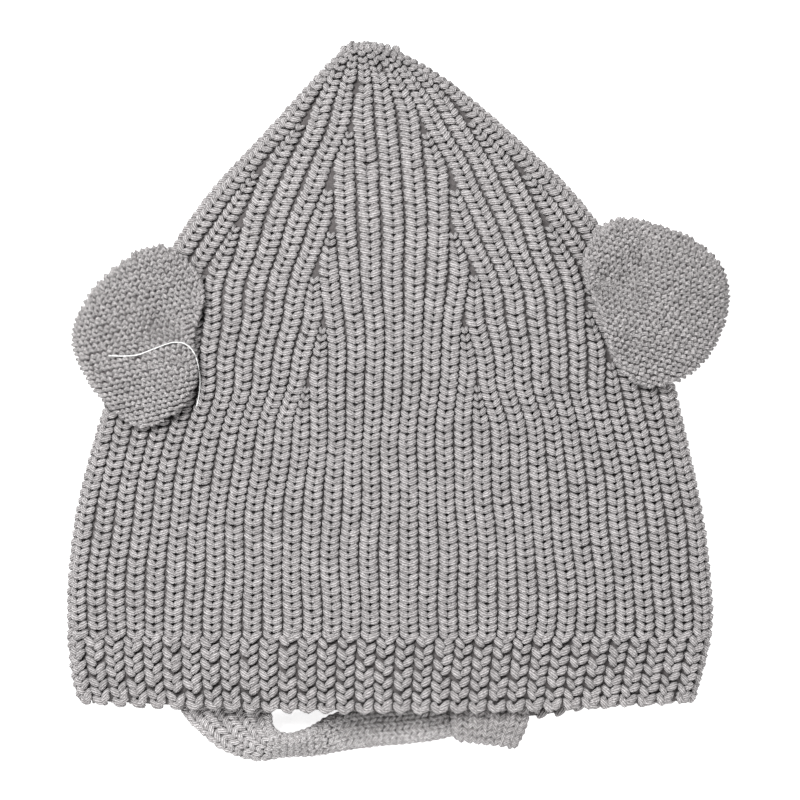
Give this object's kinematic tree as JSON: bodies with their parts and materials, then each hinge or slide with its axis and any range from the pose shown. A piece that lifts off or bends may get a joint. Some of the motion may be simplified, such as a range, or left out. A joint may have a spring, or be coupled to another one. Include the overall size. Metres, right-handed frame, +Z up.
{
  "type": "baby hat with ears",
  "caption": "Knitted baby hat lying flat, with a pointed ribbed crown, closer hem band, round ears and a chin strap.",
  "frame": {"origin": "on the surface the hat lies on, under the middle of its bounding box", "axes": "+Z up, out of the front of the hat; +Y from the opening to the tip of the crown; +X to the right as seen from above"},
  "size_m": [0.2067, 0.2243, 0.0282],
  "materials": {
    "rib_knit": "soft plied cotton yarn in deep fisherman's rib, light warm grey melange",
    "band_knit": "the same yarn in a closer rib with a looped cast-off edge",
    "ear_knit": "the same yarn in finer reverse stockinette",
    "strap_knit": "the same yarn knitted along the strap"
  },
  "bodies": {
    "root": {"crown": "rib_knit", "hem_band": "band_knit", "ear_left": "ear_knit", "ear_right": "ear_knit", "chin_strap": "strap_knit", "strap_tab": "strap_knit"}
  },
  "joints": []
}
